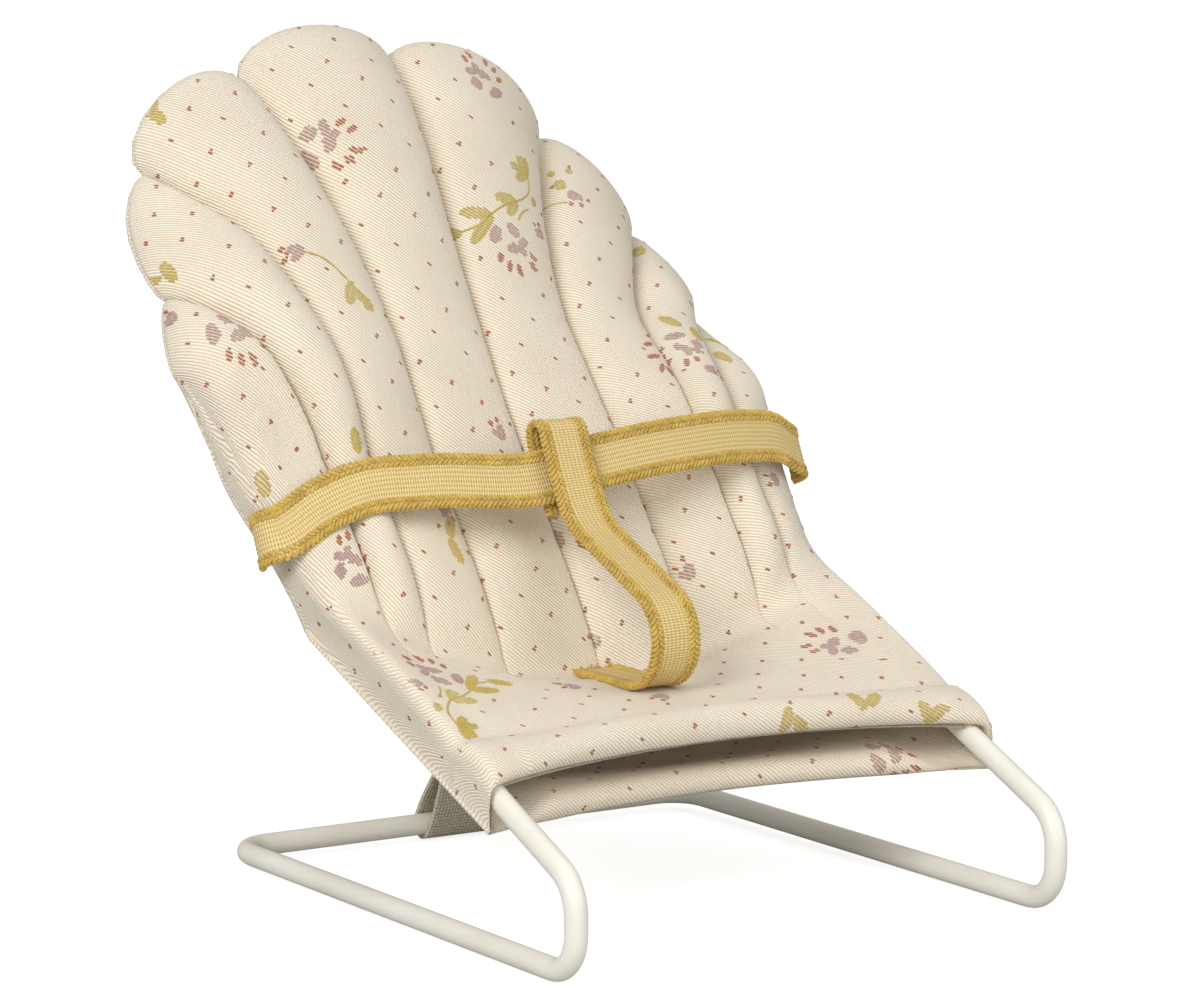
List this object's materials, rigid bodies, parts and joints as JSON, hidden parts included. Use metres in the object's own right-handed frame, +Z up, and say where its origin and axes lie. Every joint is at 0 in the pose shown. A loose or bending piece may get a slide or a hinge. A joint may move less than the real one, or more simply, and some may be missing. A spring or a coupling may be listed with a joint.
{
  "type": "doll-size bouncer seat",
  "caption": "Doll-size bouncer seat: bent wire frame with a padded shell-shaped sleeve, a webbing harness and a rear tether.",
  "frame": {"origin": "on the floor, midway across the object's overall width and depth", "axes": "+X to the right of someone facing the seat, +Y from the front bends to the rear bar, +Z up; the seat faces -Y"},
  "size_m": [0.1162, 0.1351, 0.1327],
  "materials": {
    "frame_paint": "satin ivory paint on steel wire",
    "quilted_cloth": "cream twill with woven dots and sprigs, padded",
    "plain_cloth": "cream twill, unpadded",
    "harness_webbing": "ribbed mustard webbing with braided edges",
    "tether_webbing": "coarse grey-beige webbing",
    "sewing_thread": "sewing thread"
  },
  "bodies": {
    "base": {"rear_bar": "frame_paint", "left_leg": "frame_paint", "right_leg": "frame_paint", "left_lower_bend": "frame_paint", "right_lower_bend": "frame_paint", "tether_loop": "tether_webbing", "tether_strap": "tether_webbing"},
    "seat": {"left_upper_bend": "frame_paint", "right_upper_bend": "frame_paint", "left_seat_wire": "frame_paint", "right_seat_wire": "frame_paint", "left_back_wire": "frame_paint", "right_back_wire": "frame_paint", "top_wire": "frame_paint", "left_channel_1": "quilted_cloth", "left_channel_2": "quilted_cloth", "left_channel_3": "quilted_cloth", "left_channel_4": "quilted_cloth", "right_channel_1": "quilted_cloth", "right_channel_2": "quilted_cloth", "right_channel_3": "quilted_cloth", "right_channel_4": "quilted_cloth", "seat_pad": "quilted_cloth", "front_hem": "quilted_cloth", "hem_stitching": "sewing_thread", "back_lining": "plain_cloth", "seat_lining": "plain_cloth", "left_side_seam": "plain_cloth", "right_side_seam": "plain_cloth", "waist_strap": "harness_webbing", "left_strap_end": "harness_webbing", "right_strap_end": "harness_webbing", "crotch_strap_foot": "harness_webbing"},
    "crotch": {"crotch_strap": "harness_webbing", "crotch_loop": "harness_webbing", "crotch_tack": "sewing_thread"}
  },
  "joints": [
    {"name": "seat_bounce", "type": "hinge", "parent": "base", "child": "seat", "pos_m": [0.00202, -0.06617, 0.00915], "axis": [1, 0, 0], "range_deg": [-8, 0], "stiffness_Nm_per_rad": 1.2, "springref_deg": 3.44, "deforming": ["tether_strap"]},
    {"name": "crotch_sway", "type": "hinge", "parent": "seat", "child": "crotch", "pos_m": [0.00202, -0.02167, 0.03345], "axis": [0, 1, 0], "range_deg": [-12, 12], "stiffness_Nm_per_rad": 0.001}
  ]
}
